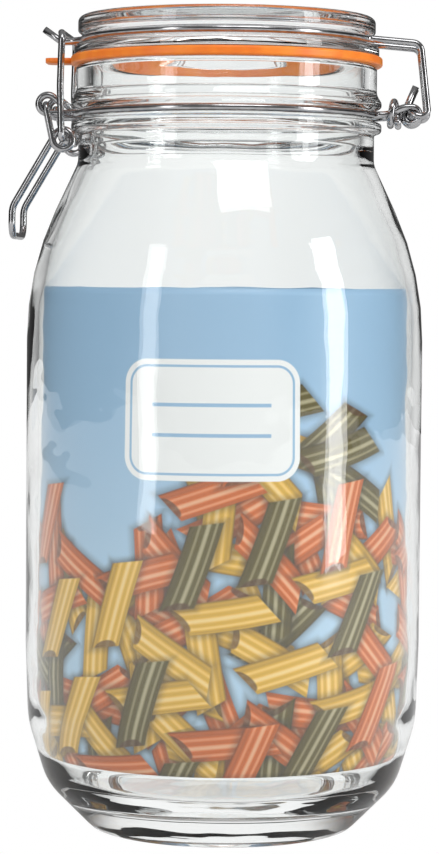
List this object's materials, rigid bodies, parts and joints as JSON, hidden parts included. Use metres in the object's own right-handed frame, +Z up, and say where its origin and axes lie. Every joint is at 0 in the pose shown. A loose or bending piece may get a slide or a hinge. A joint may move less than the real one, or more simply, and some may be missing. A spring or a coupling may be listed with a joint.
{
  "type": "bail clamp jar",
  "caption": "Tall round glass storage jar with a hinged glass lid, rubber seal and wire bail clamp, with a printed paper sleeve inside.",
  "frame": {"origin": "the middle of the foot ring, on the surface that the jar stands on", "axes": "+Z up along the jar's axis, +X toward the hinge, -X toward the clamp, so -Y is the side face with the clamp on the left"},
  "size_m": [0.1453, 0.138, 0.282],
  "materials": {
    "jar_glass": "clear soda-lime glass with slight moulding ripples",
    "lid_glass": "clear pressed glass",
    "seal_rubber": "smooth orange rubber",
    "wire": "bright plated steel wire",
    "sleeve_paper": "printed coated paper"
  },
  "bodies": {
    "jar": {"jar_body": "jar_glass", "neck_wire_near": "wire", "neck_wire_far": "wire", "neck_tie": "wire", "label_insert": "sleeve_paper"},
    "lid": {"lid": "lid_glass", "lid_wire": "wire", "seal_ring": "seal_rubber"},
    "lever": {"clamp_lever": "wire"},
    "link": {"clamp_link": "wire"}
  },
  "joints": [
    {"name": "lid_hinge", "type": "hinge", "parent": "jar", "child": "lid", "pos_m": [0.0644, 0, 0.2481], "axis": [0, 1, 0], "range_deg": [0, 105]},
    {"name": "lever_pivot", "type": "hinge", "parent": "jar", "child": "lever", "pos_m": [-0.0613, 0, 0.2508], "axis": [0, 1, 0], "range_deg": [0, 100]},
    {"name": "link_pivot", "type": "hinge", "parent": "lever", "child": "link", "pos_m": [-0.0553, 0, 0.2389], "axis": [0, 1, 0], "range_deg": [-130, 0]}
  ],
  "couplings": [
    {"joint": "lever_pivot", "follows": "lid_hinge", "ratio": 0.9523},
    {"joint": "link_pivot", "follows": "lid_hinge", "ratio": -1.238}
  ]
}
